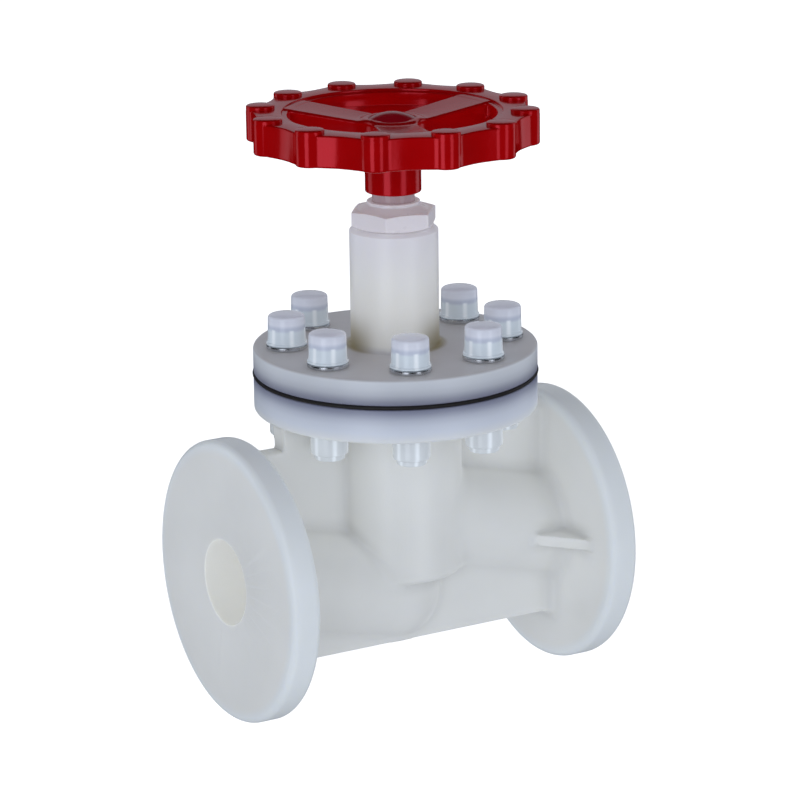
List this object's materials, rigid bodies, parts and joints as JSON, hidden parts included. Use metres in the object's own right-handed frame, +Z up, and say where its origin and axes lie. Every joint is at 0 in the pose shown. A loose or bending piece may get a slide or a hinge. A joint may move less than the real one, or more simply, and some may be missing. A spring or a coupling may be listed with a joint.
{
  "type": "flanged plastic globe valve",
  "caption": "Flanged moulded-polymer globe valve with a bolted round bonnet, tall packing neck and scalloped red handwheel.",
  "frame": {"origin": "the point where the pipe axis crosses the stem axis", "axes": "+X along the pipe from the inlet flange to the outlet flange, +Z up the stem axis to the handwheel, +Y across"},
  "size_m": [0.23, 0.1676, 0.3479],
  "materials": {
    "milky_polymer": "semi-gloss translucent white moulding",
    "stem_polymer": "turned translucent white",
    "clear_polymer": "glossy translucent cap",
    "zinc_steel": "bright zinc",
    "black_rubber": "matt",
    "packing_white": "matt",
    "red_polymer": "glossy moulding"
  },
  "bodies": {
    "valve": {"body_gasket": "black_rubber", "bolt_cap_1": "clear_polymer", "bolt_cap_2": "clear_polymer", "bolt_cap_3": "clear_polymer", "bolt_cap_4": "clear_polymer", "bolt_cap_5": "clear_polymer", "bolt_cap_6": "clear_polymer", "bolt_cap_7": "clear_polymer", "bolt_cap_8": "clear_polymer", "bolt_nut_1": "zinc_steel", "bolt_nut_2": "zinc_steel", "bolt_nut_3": "zinc_steel", "bolt_nut_4": "zinc_steel", "bolt_nut_5": "zinc_steel", "bolt_nut_6": "zinc_steel", "bolt_nut_7": "zinc_steel", "bolt_nut_8": "zinc_steel", "bolt_washer_1": "zinc_steel", "bolt_washer_2": "zinc_steel", "bolt_washer_3": "zinc_steel", "bolt_washer_4": "zinc_steel", "bolt_washer_5": "zinc_steel", "bolt_washer_6": "zinc_steel", "bolt_washer_7": "zinc_steel", "bolt_washer_8": "zinc_steel", "bonnet": "milky_polymer", "flange_bolt_1": "zinc_steel", "flange_bolt_2": "zinc_steel", "flange_bolt_3": "zinc_steel", "flange_bolt_4": "zinc_steel", "flange_bolt_5": "zinc_steel", "flange_bolt_6": "zinc_steel", "flange_bolt_7": "zinc_steel", "flange_bolt_8": "zinc_steel", "gland_follower": "milky_polymer", "gland_nut": "milky_polymer", "nut_cap_1": "clear_polymer", "nut_cap_2": "clear_polymer", "nut_cap_3": "clear_polymer", "nut_cap_4": "clear_polymer", "nut_cap_5": "clear_polymer", "nut_cap_6": "clear_polymer", "nut_cap_7": "clear_polymer", "nut_cap_8": "clear_polymer", "packing_ring_1": "packing_white", "packing_ring_2": "packing_white", "packing_ring_3": "packing_white", "seat_ring": "packing_white", "stem_bush": "milky_polymer", "valve_body": "milky_polymer"},
    "disc": {"valve_disc": "milky_polymer", "disc_seal": "black_rubber", "seal_clamp_plate": "milky_polymer", "seal_clamp_screw": "zinc_steel", "stem_retainer": "milky_polymer"},
    "spindle": {"stem": "stem_polymer", "handwheel": "red_polymer", "wheel_cap": "red_polymer", "wheel_nut": "zinc_steel", "wheel_washer": "zinc_steel"}
  },
  "joints": [
    {"name": "disc_lift", "type": "slide", "parent": "valve", "child": "disc", "axis": [0, 0, 1], "range_m": [0, 0.02]},
    {"name": "handwheel_turn", "type": "hinge", "parent": "disc", "child": "spindle", "pos_m": [0, 0, 0.25], "axis": [0, 0, 1], "range_deg": [0, 1440]}
  ],
  "couplings": [
    {"joint": "disc_lift", "follows": "handwheel_turn", "m_per_rad": 0.00079577}
  ]
}
